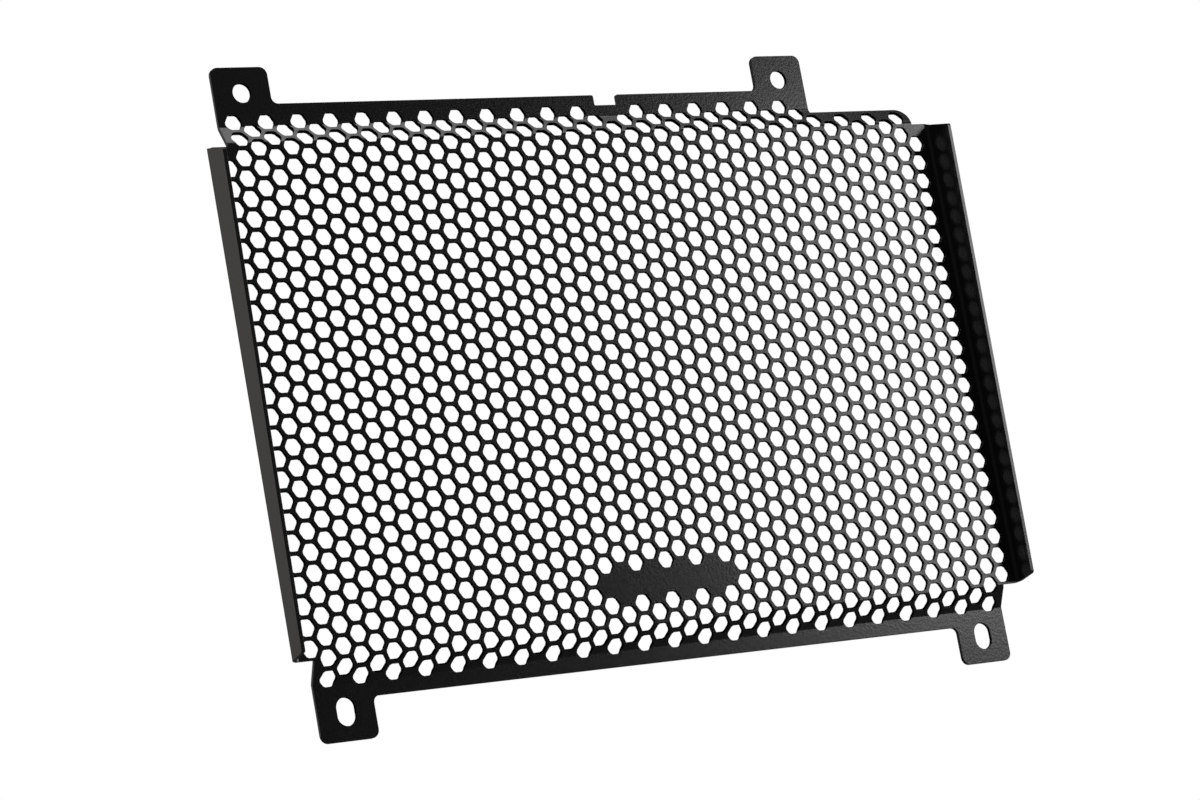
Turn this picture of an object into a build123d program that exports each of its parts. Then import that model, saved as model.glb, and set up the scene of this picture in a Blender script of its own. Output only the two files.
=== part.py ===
"""Motorcycle radiator guard: one aluminium sheet, laser cut flat and then folded.

A honeycomb panel stands a little in front of the two strips that carry its fixing tabs. Its side
flanges fold forwards. Lengths are in millimetres, angles in degrees. X runs to the right as seen
from the front, Y to the rear and Z up. The origin is midway between the two upper fixing holes, on
the rear face of their tabs, which seats on the radiator's brackets.
"""

import os
from math import cos, floor, radians, sin, sqrt, tan

from build123d import *

# Sheet
sheet_thickness = 1.5
fold_radius = 1.5  # inside every fold

# Panel and side flanges
panel_width = 315.2  # over the outer faces of the flanges
panel_height = 185.9  # between the lower and the upper fold line
upper_wing_relief = 0.9  # from the upper fold line to the end of the panel beside it
lower_wing_relief = 0.5
flange_depth_top = 14.5  # from the panel's rear face to the free edge
flange_depth_bottom = 10.5
flange_end_slope = 15.0

# Steps and strips
strip_width = 297.8
step_depth = 4.2  # the strips lie this far behind the panel
step_angle = 30.0
upper_strip_height = 8.5  # from its fold line to its edge
lower_strip_height = 6.2
shoulder_height = 6.8  # up the step to the edge right of the right tab
shoulder_radius = 5.0

# Fixing tabs
tab_width = 22.6
upper_tab_height = 13.8  # beyond the strip's edge
lower_tab_height = 14.7
right_tab_place = 93.0  # the upper right tab's middle, from the panel's middle
tab_corner_radius = 3.0
tab_root_radius = 2.5
hole_diameter = 7.2
hole_to_end = 9.6  # the hole's centre to the end of its tab
slot_width = 7.4
slot_length = 10.1
slot_to_end = 10.3

# Notch in the upper edge
notch_place = 13.0  # its middle, from the panel's middle
notch_width = 10.0
notch_depth = 4.0
notch_edge_radius = 0.8
notch_root_radius = 0.5

# Honeycomb cells, flat side up
cell_pitch = 15.5
cell_across_flats = 13.0
cell_margin_top = 3.75  # from the strip's upper edge to the first cells
cell_edge_web = 1.0  # least metal between a cell and an edge of the sheet

# Blank patch for a nameplate
plate_width = 57.0
plate_height = 8.0
plate_above_fold = 15.8  # its middle, above the lower fold line

# Values that follow from the ones above
half_sheet = sheet_thickness / 2
outer_radius = fold_radius + sheet_thickness
step_turn = radians(step_angle)
step_length = step_depth / sin(step_turn)
fold_z = panel_height / 2
strip_fold_z = fold_z + step_depth / tan(step_turn)
upper_edge_z = strip_fold_z + upper_strip_height
upper_end_z = upper_edge_z + upper_tab_height
lower_edge_z = -strip_fold_z - lower_strip_height
lower_end_z = lower_edge_z - lower_tab_height
upper_wing_z = fold_z - upper_wing_relief
lower_wing_z = lower_wing_relief - fold_z
shoulder_z = fold_z + shoulder_height * cos(step_turn)
strip_side = strip_width / 2
tab_side = strip_side - tab_width
tab_middle = strip_side - tab_width / 2
right_tab_left = right_tab_place - tab_width / 2
right_tab_right = right_tab_place + tab_width / 2
hole_z = upper_end_z - hole_to_end
slot_z = lower_end_z + slot_to_end
through = 4 * (step_depth + flange_depth_top)  # longer than the part is deep


def outline():
    """Front view of the strips and tabs, as x, z and corner radius, anticlockwise."""
    notch_left = notch_place - notch_width / 2
    notch_right = notch_place + notch_width / 2
    notch_z = upper_edge_z - notch_depth
    return [
        (-strip_side, lower_end_z, tab_corner_radius),
        (-tab_side, lower_end_z, tab_corner_radius),
        (-tab_side, lower_edge_z, tab_root_radius),
        (tab_side, lower_edge_z, tab_root_radius),
        (tab_side, lower_end_z, tab_corner_radius),
        (strip_side, lower_end_z, tab_corner_radius),
        (strip_side, shoulder_z, shoulder_radius),
        (right_tab_right, shoulder_z, 0),
        (right_tab_right, upper_end_z, tab_corner_radius),
        (right_tab_left, upper_end_z, tab_corner_radius),
        (right_tab_left, upper_edge_z, tab_root_radius),
        (notch_right, upper_edge_z, notch_edge_radius),
        (notch_right, notch_z, notch_root_radius),
        (notch_left, notch_z, notch_root_radius),
        (notch_left, upper_edge_z, notch_edge_radius),
        (-tab_side, upper_edge_z, tab_root_radius),
        (-tab_side, upper_end_z, tab_corner_radius),
        (-strip_side, upper_end_z, tab_corner_radius),
    ]


def rounded_face(plane, corners):
    """A flat face on a plane, from its corners and their radii."""
    points = [(u, v) for u, v, _ in corners]
    radii = [radius for _, _, radius in corners]
    return make_face(plane * FilletPolyline(*points, radius=radii, close=True))


def folded_strip():
    """The sheet from the lower tabs over both steps to the upper tabs."""
    front = step_depth - half_sheet
    rear = step_depth + half_sheet
    mitre = half_sheet * tan(step_turn / 2)
    section = [
        (front, lower_end_z, 0),
        (front, -strip_fold_z + mitre, fold_radius),
        (-half_sheet, -fold_z - mitre, outer_radius),
        (-half_sheet, fold_z + mitre, outer_radius),
        (front, strip_fold_z - mitre, fold_radius),
        (front, upper_end_z, 0),
        (rear, upper_end_z, 0),
        (rear, strip_fold_z + mitre, outer_radius),
        (half_sheet, fold_z - mitre, fold_radius),
        (half_sheet, -fold_z + mitre, fold_radius),
        (rear, -strip_fold_z - mitre, outer_radius),
        (rear, lower_end_z, 0),
    ]
    strip = extrude(rounded_face(Plane.YZ, section), strip_side, both=True)
    return strip & extrude(rounded_face(Plane.XZ, outline()), through, both=True)


def panel_with_flanges():
    """The flat panel between its fold lines, with both side flanges folded forwards."""
    side = panel_width / 2
    inside = side - sheet_thickness
    free_top = half_sheet - flange_depth_top
    free_bottom = half_sheet - flange_depth_bottom
    deepest = min(free_top, free_bottom)
    fold_end = -half_sheet - fold_radius
    slope = tan(radians(flange_end_slope))
    plan = [
        (-side, deepest, 0),
        (-inside, deepest, 0),
        (-inside, -half_sheet, fold_radius),
        (inside, -half_sheet, fold_radius),
        (inside, deepest, 0),
        (side, deepest, 0),
        (side, half_sheet, outer_radius),
        (-side, half_sheet, outer_radius),
    ]
    profile = [
        (half_sheet, lower_wing_z, 0),
        (half_sheet, upper_wing_z, 0),
        (fold_end, upper_wing_z, 0),
        (free_top, upper_wing_z - slope * (fold_end - free_top), 0),
        (free_bottom, lower_wing_z + slope * (fold_end - free_bottom), 0),
        (fold_end, lower_wing_z, 0),
    ]
    channel = extrude(rounded_face(Plane.XY, plan), fold_z, both=True)
    return channel & extrude(rounded_face(Plane.YZ, profile), panel_width, both=True)


def fixing_cutters():
    """The two round upper holes and the two upright lower slots."""
    across = Rot(X=90)
    hole = across * Cylinder(hole_diameter / 2, through)
    slot = across * extrude(SlotOverall(slot_length, slot_width, rotation=90), through / 2, both=True)
    holes = [Pos(x, 0, hole_z) * hole for x in (-tab_middle, right_tab_place)]
    return holes + [Pos(x, 0, slot_z) * slot for x in (-tab_middle, tab_middle)]


def height_to_z(height):
    """Level of a point on the sheet's middle line, from its distance up the sheet."""
    beyond_fold = abs(height) - fold_z
    on_step = min(max(beyond_fold, 0), step_length)
    level = abs(height) - on_step * (1 - cos(step_turn))
    return level if height > 0 else -level


def top_of_sheet(left, right):
    """Height up the sheet that cells between two x values may reach, before the edge web."""
    edge = fold_z + step_length + upper_strip_height
    if left < -strip_side or right > strip_side:
        return upper_wing_z
    if right > right_tab_right:
        return fold_z + shoulder_height
    if right > notch_place - notch_width / 2 and left < notch_place + notch_width / 2:
        return edge - notch_depth
    return edge


def bottom_of_sheet(left, right):
    """The same for the lower edge."""
    if left < -strip_side or right > strip_side:
        return lower_wing_z
    return -fold_z - step_length - lower_strip_height


def cell_places():
    """Centres of the honeycomb cells, as x and height up the sheet."""
    spacing = cell_pitch * sqrt(3) / 2
    half_cell = cell_across_flats / sqrt(3)
    reach = panel_width / 2 - outer_radius - cell_edge_web - half_cell
    columns = floor(2 * reach / spacing) + 1
    rows = floor(2 * (upper_edge_z - lower_edge_z) / cell_pitch)
    highest = top_of_sheet(0, 0) - cell_margin_top - cell_across_flats / 2
    plate_z = plate_above_fold - fold_z
    places = []
    for column in range(columns):
        x = (column - (columns - 1) / 2) * spacing
        top = top_of_sheet(x - half_cell, x + half_cell) - cell_edge_web - cell_across_flats / 2
        bottom = bottom_of_sheet(x - half_cell, x + half_cell) + cell_edge_web + cell_across_flats / 2
        for row in range(rows):
            height = highest - row * cell_pitch - (column + 1) % 2 * cell_pitch / 2
            beside_plate = abs(x) - cell_width(0) / 2 >= plate_width / 2
            clear_of_plate = abs(height - plate_z) >= (plate_height + cell_across_flats) / 2
            if bottom <= height <= top and (beside_plate or clear_of_plate):
                places.append((x, height))
    return places


def cell_width(offset):
    """Width of a cell at a height above or below its middle."""
    return 2 * (cell_across_flats - abs(offset)) / sqrt(3)


def cell_cutter(x, height):
    """A hexagonal hole cut from the front, whose corners keep their distances along the sheet."""
    half = cell_across_flats / 2
    bottom, middle, top = (height_to_z(height + offset) for offset in (-half, 0, half))
    side = cell_width(half) / 2
    corner = cell_width(0) / 2
    corners = [
        (x - side, bottom, 0),
        (x + side, bottom, 0),
        (x + corner, middle, 0),
        (x + side, top, 0),
        (x - side, top, 0),
        (x - corner, middle, 0),
    ]
    return extrude(rounded_face(Plane.XZ, corners), through / 2, both=True)


def radiator_guard():
    """The finished sheet in its mounted place."""
    sheet = folded_strip() + panel_with_flanges()
    sheet -= fixing_cutters()
    sheet -= [cell_cutter(x, height) for x, height in cell_places()]
    middle_x = (tab_middle - right_tab_place) / 2
    return Pos(middle_x, -step_depth - half_sheet, -hole_z) * sheet


os.makedirs("parts", exist_ok=True)
export_step(radiator_guard(), "parts/radiator_guard.step")
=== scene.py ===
# %% [markdown]
# # A motorcycle radiator guard
#
# The real guard is one aluminium sheet. A laser cuts its outline and its honeycomb while it is flat,
# a press folds it, and a black powder coat covers it. This lesson starts flat as well: an outline, the
# honeycomb by Geometry Nodes, and the coat as a material. The folds and the thickness follow, and then
# a camera and a small studio.

# %% Load the frame
from math import atan2, cos, pi, radians, sin, sqrt, tan

import bmesh
import bpy
from mathutils import Matrix, Vector


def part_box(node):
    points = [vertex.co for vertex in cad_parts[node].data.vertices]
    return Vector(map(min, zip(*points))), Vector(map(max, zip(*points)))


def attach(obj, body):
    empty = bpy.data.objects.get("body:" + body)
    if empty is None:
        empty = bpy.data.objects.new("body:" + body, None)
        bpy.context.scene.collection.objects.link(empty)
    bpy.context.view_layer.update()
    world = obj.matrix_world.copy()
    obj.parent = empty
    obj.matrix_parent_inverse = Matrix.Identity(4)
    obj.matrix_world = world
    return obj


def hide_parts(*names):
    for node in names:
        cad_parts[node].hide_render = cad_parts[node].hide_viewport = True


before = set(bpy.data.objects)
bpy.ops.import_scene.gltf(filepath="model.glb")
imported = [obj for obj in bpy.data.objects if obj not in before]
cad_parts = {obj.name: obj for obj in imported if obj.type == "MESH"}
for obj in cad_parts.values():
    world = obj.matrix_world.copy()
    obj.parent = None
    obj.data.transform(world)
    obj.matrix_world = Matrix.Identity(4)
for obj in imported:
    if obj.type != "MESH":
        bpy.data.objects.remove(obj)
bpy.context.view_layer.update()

guard_low, guard_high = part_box("radiator_guard")
print("Frame box in mm:", [round(1000 * v, 1) for v in (*guard_low, *guard_high)])

# %% [markdown]
# Two small helpers serve the whole lesson. One adds a node, sets it and links it. The other turns a
# colour as a paint chart gives it, in hex, into the linear values that Blender's sockets hold.


# %% Helpers for nodes and colours
def add_node(tree, kind, inputs=None, **settings):
    """Adds a node, applies its settings, and gives each input a value or a link."""
    node = tree.nodes.new(kind)
    for name, value in settings.items():
        setattr(node, name, value)
    for key, value in (inputs or {}).items():
        if isinstance(value, bpy.types.NodeSocket):
            tree.links.new(value, node.inputs[key])
        else:
            node.inputs[key].default_value = value
    return node


def linear(hex_colour):
    """Linear RGBA of an sRGB colour such as #1a1a1b."""
    channels = [int(hex_colour[i : i + 2], 16) / 255 for i in (1, 3, 5)]
    return (*[c / 12.92 if c <= 0.04045 else ((c + 0.055) / 1.055) ** 2.4 for c in channels], 1.0)


# %% [markdown]
# ## The flat blank
#
# A sheet-metal worker draws the part unfolded. X runs across the blank and Y up it, measured along the
# middle of the sheet's thickness, so that a length on the drawing is a length on the folded part. The
# middle of the panel is at zero, so each level and each side below counts from there.

# %% Sizes of the sheet
mm = 0.001
sheet = 1.5 * mm
inner_radius = 1.5 * mm
middle_radius = inner_radius + sheet / 2
panel_width = guard_high.x - guard_low.x
fold_level = 92.95 * mm
step_angle = radians(30)
step_depth = 4.2 * mm
step_length = step_depth / sin(step_angle)
strip_fold = fold_level + step_length
upper_edge = strip_fold + 8.5 * mm
upper_end = upper_edge + 13.8 * mm
lower_edge = -strip_fold - 6.2 * mm
lower_end = lower_edge - 14.7 * mm
print("Blank height in mm:", round((upper_end - lower_end) / mm, 1))

# %% Sizes across the sheet
strip_side = 148.9 * mm
tab_width = 22.6 * mm
tab_side = strip_side - tab_width
tab_middle = strip_side - tab_width / 2
right_tab = 93.0 * mm
notch_middle = 13.0 * mm
notch_half = 5.0 * mm
notch_level = upper_edge - 4.0 * mm
shoulder_level = fold_level + 6.8 * mm
wing_top = fold_level - 0.9 * mm
wing_foot = 0.5 * mm - fold_level
bend_start = panel_width / 2 - inner_radius - sheet
bend_end = bend_start + middle_radius * pi / 2
flange_top = bend_end + 11.5 * mm
flange_foot = bend_end + 7.5 * mm
print("Blank width over the flanges in mm:", round(2 * flange_top / mm, 1))

# %% [markdown]
# Each side flange is deeper at its top than at its foot, and both of its ends slope from where the bend
# starts. The corner list below goes round the blank anticlockwise. Each corner has its radius, and a
# corner with no radius is a sharp laser-cut one.


# %% Outline of the blank
def flange_corners(side):
    """Corners of one side flange, from its foot to its top, on side 1 or -1."""
    slope_start = bend_start + 0.5 * mm
    top_drop = (flange_top - slope_start) * tan(radians(15))
    foot_rise = (flange_foot - slope_start) * tan(radians(11))
    corner = 1.0 * mm
    return [
        (side * slope_start, wing_foot, 0),
        (side * flange_foot, wing_foot + foot_rise, corner),
        (side * flange_top, wing_top - top_drop, corner),
        (side * slope_start, wing_top, 0),
    ]


def tab_corners(left, right, edge, end):
    """Corners of one tab's end, in the order in which the outline meets them."""
    corner = 3.0 * mm
    first, last = (left, right) if end < edge else (right, left)
    return [(first, end, corner), (last, end, corner)]


tab_root = 2.5 * mm
shoulder_radius = 5.0 * mm
notch_edge = 0.8 * mm
notch_root = 0.5 * mm
blank_corners = [
    *tab_corners(-strip_side, -tab_side, lower_edge, lower_end),
    (-tab_side, lower_edge, tab_root),
    (tab_side, lower_edge, tab_root),
    *tab_corners(tab_side, strip_side, lower_edge, lower_end),
    (strip_side, wing_foot, 0),
    *flange_corners(1),
    (strip_side, wing_top, 0),
    (strip_side, shoulder_level, shoulder_radius),
    (right_tab + tab_width / 2, shoulder_level, 0),
    *tab_corners(right_tab - tab_width / 2, right_tab + tab_width / 2, upper_edge, upper_end),
    (right_tab - tab_width / 2, upper_edge, tab_root),
    (notch_middle + notch_half, upper_edge, notch_edge),
    (notch_middle + notch_half, notch_level, notch_root),
    (notch_middle - notch_half, notch_level, notch_root),
    (notch_middle - notch_half, upper_edge, notch_edge),
    (-tab_side, upper_edge, tab_root),
    *tab_corners(-strip_side, -tab_side, upper_edge, upper_end),
    (-strip_side, wing_top, 0),
    *reversed(flange_corners(-1)),
    (-strip_side, wing_foot, 0),
]
print("Corners of the blank:", len(blank_corners))

# %% [markdown]
# A fillet is an arc that touches both edges of its corner. Its centre lies on the line that halves the
# corner, and a few straight chords are enough for it at this size.


# %% Round the corners
arc_steps = 8


def rounded_loop(corners):
    """Points of a closed loop, with an arc at each corner that has a radius."""
    points = []
    for i, (x, y, radius) in enumerate(corners):
        corner = Vector((x, y))
        before = (Vector(corners[i - 1][:2]) - corner).normalized()
        after = (Vector(corners[(i + 1) % len(corners)][:2]) - corner).normalized()
        if not radius:
            points.append(corner)
            continue
        half_corner = before.angle(after) / 2
        centre = corner + (before + after).normalized() * radius / sin(half_corner)
        start = corner + before * radius / tan(half_corner) - centre
        end = corner + after * radius / tan(half_corner) - centre
        turn = atan2(start.cross(end), start.dot(end))
        for step in range(arc_steps + 1):
            points.append(centre + Matrix.Rotation(turn * step / arc_steps, 2) @ start)
    return points


def slot_loop(x, y, width, height):
    """Points of an upright slot with round ends, or of a round hole where height equals width."""
    steps = 4 * arc_steps
    points = []
    for step in range(steps):
        angle = 2 * pi * (step + 0.5) / steps
        shift = (height - width) / 2 if sin(angle) > 0 else (width - height) / 2
        points.append(Vector((x + width / 2 * cos(angle), y + shift + width / 2 * sin(angle))))
    return points


# %% [markdown]
# Screws hold the guard to the radiator through two round holes at the top and two upright slots at the
# foot, which leave room for the height to differ. A round hole is a slot as high as it is wide, so one
# function draws all four. The outline and the holes are plain loops of edges, with no face yet.

# %% Draw the blank with its fixing holes
hole_level = upper_end - 9.6 * mm
slot_level = lower_end + 10.3 * mm
hole_size = 7.2 * mm
slot_width = 7.4 * mm
slot_height = 10.1 * mm
loops = [
    rounded_loop(blank_corners),
    slot_loop(-tab_middle, hole_level, hole_size, hole_size),
    slot_loop(right_tab, hole_level, hole_size, hole_size),
    slot_loop(-tab_middle, slot_level, slot_width, slot_height),
    slot_loop(tab_middle, slot_level, slot_width, slot_height),
]
blank_points = []
blank_edges = []
for loop in loops:
    first = len(blank_points)
    count = len(loop)
    blank_points += [(p.x, p.y, 0) for p in loop]
    blank_edges += [(first + i, first + (i + 1) % count) for i in range(count)]
blank_mesh = bpy.data.meshes.new("blank_outline")
blank_mesh.from_pydata(blank_points, blank_edges, [])
blank = bpy.data.objects.new("blank_outline", blank_mesh)
bpy.context.scene.collection.objects.link(blank)
print("Points drawn:", len(blank_points))

# %% [markdown]
# ## The honeycomb
#
# The cells stand in columns, each half a pitch lower or higher than its neighbours. A cell is cut where
# it keeps a web of metal to every edge, and left out on the patch that would hold a nameplate. Geometry
# Nodes suit this well: a grid gives the places, a distance to the outline decides which ones stay, one
# hexagon is repeated on them, and Fill Curve lays the sheet between the outline and all the hexagons.

# %% Start the node tree with its named inputs
honeycomb = bpy.data.node_groups.new("Honeycomb sheet", "GeometryNodeTree")
honeycomb_inputs = {
    "Pitch": ("NodeSocketFloat", 7.5 * mm),
    "Across Flats": ("NodeSocketFloat", 6.1 * mm),
    "Corner Radius": ("NodeSocketFloat", 1.5 * mm),
    "Columns": ("NodeSocketInt", 47),
    "Rows": ("NodeSocketInt", 30),
    "Top Row": ("NodeSocketFloat", upper_edge - 7.0 * mm),
    "Lowest Row": ("NodeSocketFloat", lower_edge + 6.0 * mm),
    "Edge Distance": ("NodeSocketFloat", 4.0 * mm),
    "Plate Width": ("NodeSocketFloat", 57.0 * mm),
    "Plate Height": ("NodeSocketFloat", 8.0 * mm),
    "Plate Level": ("NodeSocketFloat", -fold_level + 15.8 * mm),
    "Finish": ("NodeSocketMaterial", None),
}
honeycomb.interface.new_socket("Geometry", in_out="INPUT", socket_type="NodeSocketGeometry")
honeycomb.interface.new_socket("Geometry", in_out="OUTPUT", socket_type="NodeSocketGeometry")
socket_ids = {}
for name, (socket_type, _) in honeycomb_inputs.items():
    socket = honeycomb.interface.new_socket(name, in_out="INPUT", socket_type=socket_type)
    socket_ids[name] = socket.identifier
given = add_node(honeycomb, "NodeGroupInput").outputs
print("Inputs of the tree:", ", ".join(honeycomb_inputs))

# %% [markdown]
# The grid's points are numbered column by column, so a point's number divided by the rows gives its
# column. Columns are closer than rows: a hexagon grid with its flats up has columns at the pitch times
# half the square root of three.


# %% Places of the cells
def maths(operation, *values):
    """Output of one Math node in the honeycomb tree."""
    return add_node(honeycomb, "ShaderNodeMath", dict(enumerate(values)), operation=operation).outputs[0]


column_gap = maths("MULTIPLY", given["Pitch"], sqrt(3) / 2)
grid = add_node(
    honeycomb,
    "GeometryNodeMeshGrid",
    {"Size X": 0.0, "Size Y": 0.0, "Vertices X": given["Columns"], "Vertices Y": given["Rows"]},
)
point_number = add_node(honeycomb, "GeometryNodeInputIndex").outputs[0]
column = maths("FLOOR", maths("DIVIDE", maths("ADD", point_number, 0.5), given["Rows"]))
row = maths("SUBTRACT", point_number, maths("MULTIPLY", column, given["Rows"]))
from_middle = maths("SUBTRACT", column, maths("DIVIDE", maths("SUBTRACT", given["Columns"], 1.0), 2.0))
is_low = maths("MODULO", maths("ADD", column, 1.0), 2.0)
rows_down = maths("ADD", row, maths("MULTIPLY", is_low, 0.5))
cell_x = maths("MULTIPLY", from_middle, column_gap)
cell_y = maths("SUBTRACT", given["Top Row"], maths("MULTIPLY", rows_down, given["Pitch"]))
cell_place = add_node(honeycomb, "ShaderNodeCombineXYZ", {"X": cell_x, "Y": cell_y}).outputs[0]
lattice = add_node(
    honeycomb, "GeometryNodeSetPosition", {"Geometry": grid.outputs["Mesh"], "Position": cell_place}
)

# %% [markdown]
# Four tests drop the places where no cell belongs: off the sheet, too near an edge, down on the tabs, or
# on the plate's patch. A ray that falls on the filled blank tells whether a place is on the sheet at all.

# %% Test each place against the outline
place = add_node(honeycomb, "GeometryNodeInputPosition").outputs[0]
edge_gap = add_node(
    honeycomb,
    "GeometryNodeProximity",
    {"Geometry": given["Geometry"], "Source Position": place},
    target_element="EDGES",
).outputs["Distance"]
outline_curve = add_node(honeycomb, "GeometryNodeMeshToCurve", {"Mesh": given["Geometry"]}).outputs[0]
plain_blank = add_node(honeycomb, "GeometryNodeFillCurve", {"Curve": outline_curve}).outputs[0]
above = add_node(honeycomb, "ShaderNodeVectorMath", {0: place, 1: (0.0, 0.0, 0.01)}).outputs[0]
fall = add_node(
    honeycomb,
    "GeometryNodeRaycast",
    {"Target Geometry": plain_blank, "Source Position": above, "Ray Direction": (0.0, 0.0, -1.0)},
)
off_sheet = maths("SUBTRACT", 1.0, fall.outputs["Is Hit"])
near_edge = maths("LESS_THAN", edge_gap, given["Edge Distance"])

# %% Test each place against the plate and the tabs, and keep the cells that belong
place_xyz = add_node(honeycomb, "ShaderNodeSeparateXYZ", {0: place}).outputs
plate_reach_x = maths("MULTIPLY", maths("ADD", given["Plate Width"], given["Pitch"]), 0.5)
plate_reach_y = maths("MULTIPLY", maths("ADD", given["Plate Height"], given["Across Flats"]), 0.5)
above_plate = maths("ABSOLUTE", maths("SUBTRACT", place_xyz["Y"], given["Plate Level"]))
on_plate = maths(
    "MULTIPLY",
    maths("LESS_THAN", maths("ABSOLUTE", place_xyz["X"]), plate_reach_x),
    maths("LESS_THAN", above_plate, plate_reach_y),
)
too_low = maths("LESS_THAN", place_xyz["Y"], given["Lowest Row"])
unwanted = maths("ADD", maths("ADD", off_sheet, near_edge), maths("ADD", on_plate, too_low))
cells = add_node(
    honeycomb,
    "GeometryNodeDeleteGeometry",
    {"Geometry": lattice.outputs[0], "Selection": maths("GREATER_THAN", unwanted, 0.5)},
    domain="POINT",
)

# %% [markdown]
# The laser rounds the corners of each hexagon. A thousand cells can't have many points each, so one
# chord stands for the arc at each corner, cut where it takes away as much area as the arc does.

# %% Cut a hexagon at each place and fill the sheet around them
hexagon = add_node(
    honeycomb,
    "GeometryNodeCurvePrimitiveCircle",
    {"Resolution": 6, "Radius": maths("DIVIDE", given["Across Flats"], sqrt(3))},
    mode="RADIUS",
)
chord_share = 0.61
rounded_hexagon = add_node(
    honeycomb,
    "GeometryNodeFilletCurve",
    {
        "Curve": hexagon.outputs["Curve"],
        "Count": 1,
        "Radius": maths("MULTIPLY", given["Corner Radius"], chord_share),
    },
    mode="POLY",
)
hexagons = add_node(
    honeycomb,
    "GeometryNodeInstanceOnPoints",
    {"Points": cells.outputs[0], "Instance": rounded_hexagon.outputs["Curve"]},
)
all_loops = add_node(honeycomb, "GeometryNodeJoinGeometry")
honeycomb.links.new(outline_curve, all_loops.inputs[0])
honeycomb.links.new(hexagons.outputs[0], all_loops.inputs[0])
real_loops = add_node(honeycomb, "GeometryNodeRealizeInstances", {"Geometry": all_loops.outputs[0]})
filled = add_node(honeycomb, "GeometryNodeFillCurve", {"Curve": real_loops.outputs[0]})
finished = add_node(
    honeycomb,
    "GeometryNodeSetMaterial",
    {"Geometry": filled.outputs[0], "Material": given["Finish"]},
)
add_node(honeycomb, "NodeGroupOutput", {0: finished.outputs[0]})
print("Nodes in the tree:", len(honeycomb.nodes))

# %% [markdown]
# ## The powder coat
#
# The finish is a satin black polyester powder coat. The powder melts into a skin that is about 80
# micrometres thick and never quite flat: it keeps a fine orange peel, with waves of half a millimetre
# to a millimetre, and a finer grain on top. The eye reads that as a soft, slightly sparkling sheen.

# %% Powder coat material
coat = bpy.data.materials.new("satin_black_powder_coat")
coat.use_nodes = True
coat_tree = coat.node_tree
coat_tree.nodes.clear()
where = add_node(coat_tree, "ShaderNodeTexCoord").outputs["Object"]
orange_peel_size = 0.9 * mm
grain_size = 0.35 * mm
orange_peel = add_node(
    coat_tree, "ShaderNodeTexNoise", {"Vector": where, "Scale": 1 / orange_peel_size, "Detail": 1.0}
)
grain = add_node(
    coat_tree, "ShaderNodeTexNoise", {"Vector": where, "Scale": 1 / grain_size, "Detail": 2.0}
)
cloud_size = 40 * mm
clouds = add_node(
    coat_tree, "ShaderNodeTexNoise", {"Vector": where, "Scale": 1 / cloud_size, "Detail": 2.0}
)
peel_bump = add_node(
    coat_tree,
    "ShaderNodeBump",
    {"Height": orange_peel.outputs[0], "Strength": 0.5, "Distance": 0.06 * mm},
)
grain_bump = add_node(
    coat_tree,
    "ShaderNodeBump",
    {
        "Height": grain.outputs[0],
        "Strength": 0.4,
        "Distance": 0.02 * mm,
        "Normal": peel_bump.outputs[0],
    },
)
colour = add_node(
    coat_tree,
    "ShaderNodeMix",
    {"Factor": clouds.outputs[0], "A": linear("#111112"), "B": linear("#161617")},
    data_type="RGBA",
)
gloss = add_node(
    coat_tree,
    "ShaderNodeMapRange",
    {"Value": grain.outputs[0], "To Min": 0.19, "To Max": 0.27},
)
surface = add_node(
    coat_tree,
    "ShaderNodeBsdfPrincipled",
    {
        "Base Color": colour.outputs["Result"],
        "Roughness": gloss.outputs[0],
        "IOR": 1.5,
        "Normal": grain_bump.outputs[0],
    },
)
add_node(coat_tree, "ShaderNodeOutputMaterial", {"Surface": surface.outputs[0]})
print("Coat nodes:", len(coat_tree.nodes))

# %% [markdown]
# Inside a small hole the coat is thin, and the walls there get a material of their own that paints shade on
# them.
# It is darker, rough and has no shine at all, so those walls stay plain black whatever light stands behind
# the guard.

# %% Thin coat inside the holes, darker and shineless as painted shade
hole_wall_shade_coat = bpy.data.materials.new("thin_black_coat_with_painted_shade")
hole_wall_shade_coat.use_nodes = True
shade_coat_inputs = hole_wall_shade_coat.node_tree.nodes["Principled BSDF"].inputs
# Darker colour and no shine: painted shade on the hole walls.
shade_coat_inputs["Base Color"].default_value = linear("#0c0c0c")
shade_coat_inputs["Roughness"].default_value = 0.8
shade_coat_inputs["Specular IOR Level"].default_value = 0.0
print("Finishes:", coat.name, "and", hole_wall_shade_coat.name)

# %% [markdown]
# The tree is now run on the outline. Each input is set by its socket's identifier, and the result is
# copied out as a plain mesh, because the folds that follow move its points one by one.

# %% Run the tree on the blank
modifier = blank.modifiers.new("Honeycomb sheet", "NODES")
modifier.node_group = honeycomb
for name, (_, value) in honeycomb_inputs.items():
    modifier[socket_ids[name]] = coat if name == "Finish" else value
depsgraph = bpy.context.evaluated_depsgraph_get()
flat_mesh = bpy.data.meshes.new_from_object(blank.evaluated_get(depsgraph))
bpy.data.objects.remove(blank)
print("Flat sheet:", len(flat_mesh.vertices), "points,", len(flat_mesh.polygons), "faces")

# %% [markdown]
# ## Folding
#
# A press brake bends the sheet round a small radius. Only the bends change shape, so the flat mesh is
# first cut along narrow strips at each fold line. Then every point moves by one rule: from its place on
# the blank to its place on the folded part.

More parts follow.
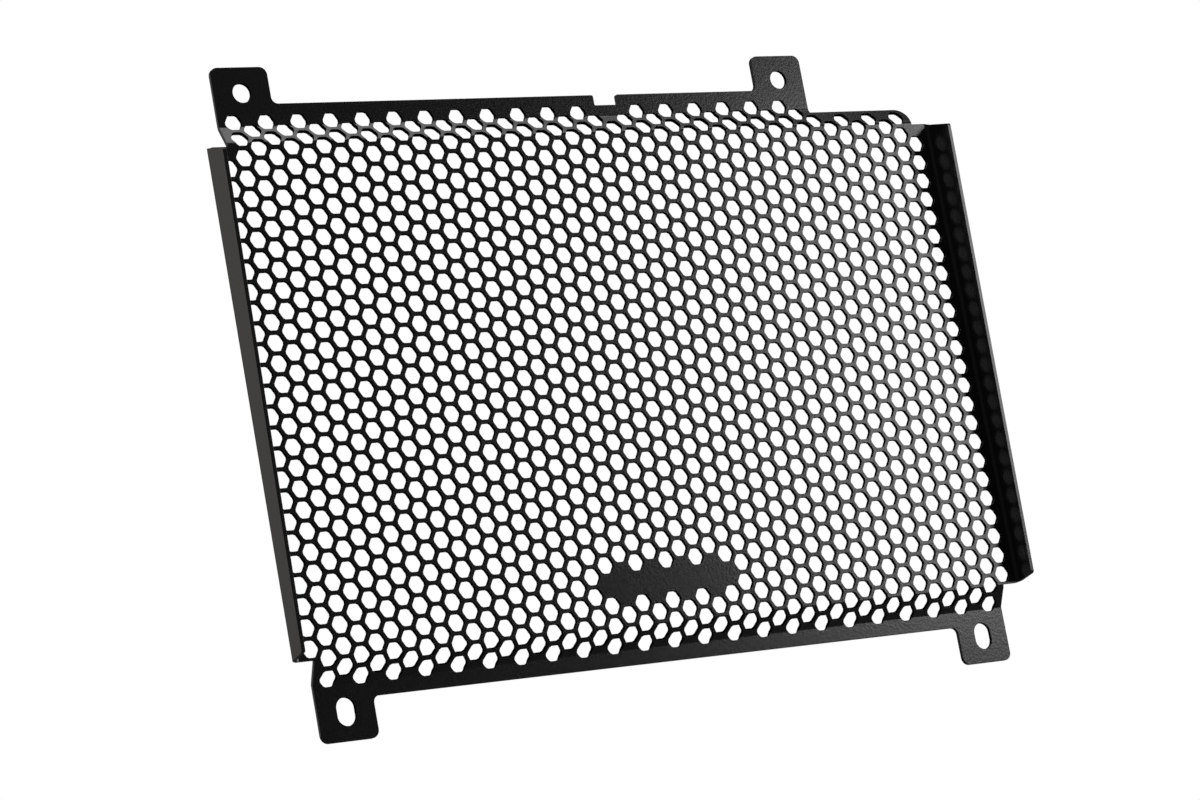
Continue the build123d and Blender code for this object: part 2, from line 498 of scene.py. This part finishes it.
# %% Cut the sheet along its folds
fold_steps = 3
bend_steps = 8
cut_tolerance = 0.001 * mm
fold_reach = middle_radius * tan(step_angle / 2)
sheet_bm = bmesh.new()
sheet_bm.from_mesh(flat_mesh)
bmesh.ops.remove_doubles(sheet_bm, verts=sheet_bm.verts, dist=cut_tolerance)
cuts = []
for fold in (fold_level, strip_fold):
    for step in range(fold_steps + 1):
        level = fold - fold_reach + 2 * fold_reach * step / fold_steps
        cuts += [((0, side * level, 0), (0, 1, 0)) for side in (1, -1)]
for step in range(bend_steps + 1):
    reach = bend_start + (bend_end - bend_start) * step / bend_steps
    cuts += [((side * reach, 0, 0), (1, 0, 0)) for side in (1, -1)]
for point, normal in cuts:
    everything = [*sheet_bm.verts, *sheet_bm.edges, *sheet_bm.faces]
    bmesh.ops.bisect_plane(sheet_bm, geom=everything, plane_co=point, plane_no=normal, dist=cut_tolerance)
for face in sheet_bm.faces:
    if face.normal.z < 0:
        face.normal_flip()
loose = [v for v in sheet_bm.verts if not v.link_faces]
bmesh.ops.delete(sheet_bm, geom=loose, context="VERTS")
bpy.data.meshes.remove(flat_mesh)
print("Cut sheet:", len(sheet_bm.verts), "points,", len(sheet_bm.faces), "faces")


# %% The rule of the folds
def on_fold_line(path, corner):
    """How far a point has turned round a fold, from 0 to the step's angle."""
    turned = (path - corner + fold_reach) / (2 * fold_reach)
    return step_angle * min(max(turned, 0.0), 1.0)


def profile(path):
    """Depth, level and lean of the sheet's middle at a distance up from the panel's middle."""
    first = on_fold_line(path, fold_level)
    second = on_fold_line(path, strip_fold)
    depth = middle_radius * (1 - cos(first))
    level = min(path, fold_level - fold_reach) + middle_radius * sin(first)
    on_step = min(max(path - fold_level - fold_reach, 0.0), step_length - 2 * fold_reach)
    depth += on_step * sin(step_angle)
    level += on_step * cos(step_angle)
    if second:
        depth += middle_radius * (cos(step_angle - second) - cos(step_angle))
        level += middle_radius * (sin(step_angle) - sin(step_angle - second))
        level += max(path - strip_fold - fold_reach, 0.0)
    return depth, level, first - second


def fold(x, y):
    """Folded place of a point of the blank, with the sheet's directions across, up and forwards there."""
    up_side = 1 if y > 0 else -1
    depth, level, lean = profile(abs(y))
    side = 1 if x > 0 else -1
    bend = min(max(abs(x) - bend_start, 0.0), bend_end - bend_start) / middle_radius
    reach = min(abs(x), bend_start) + middle_radius * sin(bend)
    depth -= middle_radius * (1 - cos(bend)) + max(abs(x) - bend_end, 0.0)
    across = Vector((cos(bend), -side * sin(bend), 0))
    up = Vector((0, up_side * sin(lean), cos(lean)))
    return Vector((side * reach, depth, up_side * level)), across, up, across.cross(up)


print("Step depth in mm:", round(profile(upper_edge)[0] / mm, 2))

# %% [markdown]
# ## Thickness
#
# The laser leaves straight walls, and the coat rounds their edges by about a tenth of a millimetre.
# That small round catches the light along each edge, so each wall here is three rows of faces: a round
# at the front, the wall, and a round at the rear. The corners of a round lean their normals from the
# face to the wall, which makes one flat facet shade as a curve.

# %% Outward directions along the cut edges
front_round = 0.12 * mm
rear_round = 0.08 * mm
edge_outward = {}
corner_outward = {}
for edge in sheet_bm.edges:
    if not edge.is_boundary:
        continue
    start = edge.link_loops[0].vert
    end = edge.link_loops[0].link_loop_next.vert
    along = (end.co - start.co).normalized()
    edge_outward[start, end] = Vector((along.y, -along.x))
for (start, end), outward in edge_outward.items():
    for vert in (start, end):
        corner_outward.setdefault(vert, []).append((outward, (end.co - start.co).length))
mitres = {
    vert: (first + second) / (1 + first.dot(second))
    for vert, ((first, _), (second, _)) in corner_outward.items()
}
print("Cut edges:", len(edge_outward), "of them at", len(mitres), "points")

# %% [markdown]
# Where the cut line turns a little, it is one step of a curve, and its wall has to shade as a curve too.
# The longer of two edges keeps its direction there, so that the flats of a hexagon stay flat. A sharp
# corner is left out of the list, and each of its two walls keeps its own direction.

# %% Lean of the walls at the points of a curve
sharpest_curve = cos(radians(35))
curve_outward = {
    vert: (first * first_length**2 + second * second_length**2).normalized()
    for vert, ((first, first_length), (second, second_length)) in corner_outward.items()
    if first.dot(second) > sharpest_curve
}
print("Points on a curve:", len(curve_outward))

# %% [markdown]
# Charged powder is drawn to the edge of a small hole and hardly gets inside it, so the coat on the walls
# of the cells and of the fixing holes is thin; those walls also get painted shade, a darker coat with no
# shine. Those walls are the short closed loops.

# %% Find the walls inside holes
longest_hole = 40 * mm
next_point = {start: end for start, end in edge_outward}
hole_points = set()
while next_point:
    loop = [next(iter(next_point))]
    while loop[-1] in next_point:
        loop.append(next_point.pop(loop[-1]))
    if sum((b.co - a.co).length for a, b in zip(loop, loop[1:])) < longest_hole:
        hole_points.update(loop)
print("Points on hole walls:", len(hole_points))

# %% [markdown]
# The folded sheet is built from four layers of points: the front face, the front and the rear end of the
# walls, and the rear face. A layer is moved in from the cut edge along the mitre between two walls, so
# that the round keeps its width at a corner.

# %% Place the points of each layer
to_frame = Vector(
    (
        (guard_low.x + guard_high.x) / 2,
        guard_high.y - step_depth - sheet / 2,
        guard_high.z - profile(upper_end)[1],
    )
)
points = []


def add_layer(verts, inset, height):
    """Adds one folded point for each vertex, moved in from the cut edge and up from the middle."""
    numbers = {}
    for vert in verts:
        flat = vert.co.xy - mitres.get(vert, Vector((0, 0))) * inset
        place, _, _, forwards = fold(flat.x, flat.y)
        numbers[vert] = len(points)
        points.append(place + forwards * height + to_frame)
    return numbers


front = add_layer(sheet_bm.verts, front_round, sheet / 2)
front_wall = add_layer(mitres, 0, sheet / 2 - front_round)
rear_wall = add_layer(mitres, 0, rear_round - sheet / 2)
rear = add_layer(sheet_bm.verts, rear_round, -sheet / 2)
print("Points of the folded sheet:", len(points))

# %% Join the layers with faces and normals
directions = {vert: fold(vert.co.x, vert.co.y)[1:] for vert in sheet_bm.verts}
faces = []
normals = []
painted_shade_faces = []
for face in sheet_bm.faces:
    faces.append([front[v] for v in face.verts])
    normals += [directions[v][2] for v in face.verts]
    faces.append([rear[v] for v in reversed(face.verts)])
    normals += [-directions[v][2] for v in reversed(face.verts)]
for (start, end), outward in edge_outward.items():
    wall = {}
    for v in (start, end):
        across, up, _ = directions[v]
        lean = curve_outward.get(v, outward)
        wall[v] = across * lean.x + up * lean.y
    # Walls inside holes take the darker, shineless coat: painted shade.
    if start in hole_points:
        painted_shade_faces.append(len(faces) + 1)
    for lower, upper, lower_lean, upper_lean in (
        (front_wall, front, None, 1),
        (rear_wall, front_wall, None, None),
        (rear, rear_wall, -1, None),
    ):
        faces.append([lower[start], lower[end], upper[end], upper[start]])
        for v, facing in ((start, lower_lean), (end, lower_lean), (end, upper_lean), (start, upper_lean)):
            normals.append(directions[v][2] * facing if facing else wall[v])
print("Faces of the folded sheet:", len(faces), "of them dull:", len(painted_shade_faces))

# %% Make the folded sheet
guard_mesh = bpy.data.meshes.new("radiator_guard_sheet")
guard_mesh.from_pydata(points, [], faces)
guard_mesh.shade_smooth()
guard_mesh.normals_split_custom_set(normals)
# The second slot holds the darker, shineless coat, which paints shade on the hole walls.
guard_mesh.materials.append(coat)
guard_mesh.materials.append(hole_wall_shade_coat)
for number in painted_shade_faces:
    guard_mesh.polygons[number].material_index = 1
guard = bpy.data.objects.new("radiator_guard_sheet", guard_mesh)
bpy.context.scene.collection.objects.link(guard)
sheet_bm.free()
print("Material slots:", [material.name for material in guard_mesh.materials])

# %% [markdown]
# The sheet takes the place of the plain solid in the frame. Nothing on the guard moves, so it rides on
# the root body.

# %% Put the sheet in the frame
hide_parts("radiator_guard")
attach(guard, "root")

# %% [markdown]
# ## The camera
#
# The view is a long lens from the lower left. Its place and its two directions below were worked out
# from the rows of the honeycomb, which converge in the picture as parallel lines do.

# %% Camera
camera_place = Vector((-0.7366, -1.19579, -0.36551))
camera_forwards = Vector((0.52191, 0.83566, 0.1711)).normalized()
camera_right = Vector((0.85063, -0.49493, -0.17743)).normalized()
camera_up = camera_right.cross(camera_forwards)
camera_data = bpy.data.cameras.new("camera")
camera_data.sensor_width = 36
camera_data.lens = 116.86
half_pixel = 0.5 / 1200
camera_data.shift_x = -half_pixel
camera_data.shift_y = half_pixel
camera = bpy.data.objects.new("camera", camera_data)
camera_turn = Matrix((camera_right, camera_up, -camera_forwards)).transposed()
camera.matrix_world = Matrix.Translation(camera_place) @ camera_turn.to_4x4()
bpy.context.scene.collection.objects.link(camera)
bpy.context.scene.camera = camera
print("Camera to the guard in m:", round((camera_place - to_frame).length, 2))

# %% [markdown]
# ## Studio light
#
# A black coat shows its lights more than its colour. One tall soft box on the right draws the grey
# sheen that grows towards the right-hand end of the panel, and one above catches the stepped strip. A
# wide one over the left shoulder fills the front, and a small warm one behind shows the left flange.


# %% Soft boxes
def soft_box(name, azimuth, elevation, distance, width, height, power, colour="#ffffff"):
    """A rectangular lamp that looks at the guard from a compass place round it."""
    turn = radians(azimuth)
    rise = radians(elevation)
    away = Vector((sin(turn) * cos(rise), -cos(turn) * cos(rise), sin(rise)))
    data = bpy.data.lights.new(name, "AREA")
    data.shape = "RECTANGLE"
    data.size = width
    data.size_y = height
    data.energy = power
    data.color = linear(colour)[:3]
    lamp = bpy.data.objects.new(name, data)
    lamp.rotation_euler = away.to_track_quat("Z", "Y").to_euler()
    lamp.location = to_frame + away * distance
    bpy.context.scene.collection.objects.link(lamp)


soft_box("right_box", 65.6, 9.7, 1.1, 1.12, 0.37, 6.9)
soft_box("top_box", 56, 62, 1.1, 0.26, 0.8, 1.9)
soft_box("front_box", -40, 66, 1.3, 0.8, 0.8, 9)
soft_box("rear_box", 224, 12, 0.6, 0.3, 0.5, 0.22, "#fffaf2")
print("Lamps:", len(bpy.data.lights))

# %% [markdown]
# The background is pure white for the camera. Reflections see a white card there too, as wide as the
# picture's background, and a dim studio elsewhere, which keeps the panel and the walls of its cells black.

# %% World
world = bpy.data.worlds.new("studio")
bpy.context.scene.world = world
world.use_nodes = True
sky = world.node_tree
sky.nodes.clear()
card_direction = (0.522, 0.835, 0.171)
card_edge = cos(radians(18))
card_full = cos(radians(13))
ray = add_node(sky, "ShaderNodeLightPath").outputs
direction = add_node(sky, "ShaderNodeTexCoord").outputs["Generated"]
towards_card = add_node(
    sky, "ShaderNodeVectorMath", {0: direction, 1: card_direction}, operation="DOT_PRODUCT"
).outputs["Value"]
card = add_node(
    sky,
    "ShaderNodeMapRange",
    {"Value": towards_card, "From Min": card_edge, "From Max": card_full},
    interpolation_type="SMOOTHSTEP",
).outputs[0]
shiny = add_node(
    sky,
    "ShaderNodeMath",
    {0: ray["Is Glossy Ray"], 1: ray["Is Transmission Ray"]},
    operation="MAXIMUM",
).outputs[0]
shiny_card = add_node(sky, "ShaderNodeMath", {0: shiny, 1: card}, operation="MULTIPLY").outputs[0]
white_share = add_node(
    sky, "ShaderNodeMath", {0: ray["Is Camera Ray"], 1: shiny_card}, operation="MAXIMUM"
).outputs[0]
studio_level = 0.04
studio = add_node(sky, "ShaderNodeBackground", {"Color": linear("#ffffff"), "Strength": studio_level})
white = add_node(sky, "ShaderNodeBackground", {"Color": linear("#ffffff"), "Strength": 1.0})
mixed = add_node(sky, "ShaderNodeMixShader", {0: white_share, 1: studio.outputs[0], 2: white.outputs[0]})
add_node(sky, "ShaderNodeOutputWorld", {"Surface": mixed.outputs[0]})
bpy.context.scene.view_settings.view_transform = "Standard"
print("World nodes:", len(sky.nodes))

# %% [markdown]
# The floor is a plain pale sheet of paper under the guard. It lies lower than the camera, which looks
# up a little, so only the other views show it.

# %% Floor
floor_level = -0.42
floor_half = 3.0
floor_mesh = bpy.data.meshes.new("floor")
floor_corners = [(x, y, floor_level) for x, y in ((-1, -1), (1, -1), (1, 1), (-1, 1))]
floor_mesh.from_pydata([(x * floor_half, y * floor_half, z) for x, y, z in floor_corners], [], [(0, 1, 2, 3)])
paper = bpy.data.materials.new("matt_pale_paper")
paper.use_nodes = True
paper_tree = paper.node_tree
paper_tree.nodes.clear()
seen = add_node(paper_tree, "ShaderNodeLightPath").outputs["Is Camera Ray"]
paper_colour = add_node(
    paper_tree,
    "ShaderNodeMix",
    {"Factor": seen, "A": linear("#6e6d6b"), "B": linear("#eceae6")},
    data_type="RGBA",
).outputs["Result"]
paper_glow = 0.5
paper_light = add_node(
    paper_tree, "ShaderNodeMath", {0: seen, 1: paper_glow}, operation="MULTIPLY"
).outputs[0]
paper_surface = add_node(
    paper_tree,
    "ShaderNodeBsdfPrincipled",
    {
        "Base Color": paper_colour,
        "Roughness": 0.9,
        "Emission Color": linear("#eceae6"),
        "Emission Strength": paper_light,
    },
)
add_node(paper_tree, "ShaderNodeOutputMaterial", {"Surface": paper_surface.outputs[0]})
floor_mesh.materials.append(paper)
floor = bpy.data.objects.new("floor", floor_mesh)
bpy.context.scene.collection.objects.link(floor)
print("Floor level in m:", floor_level)
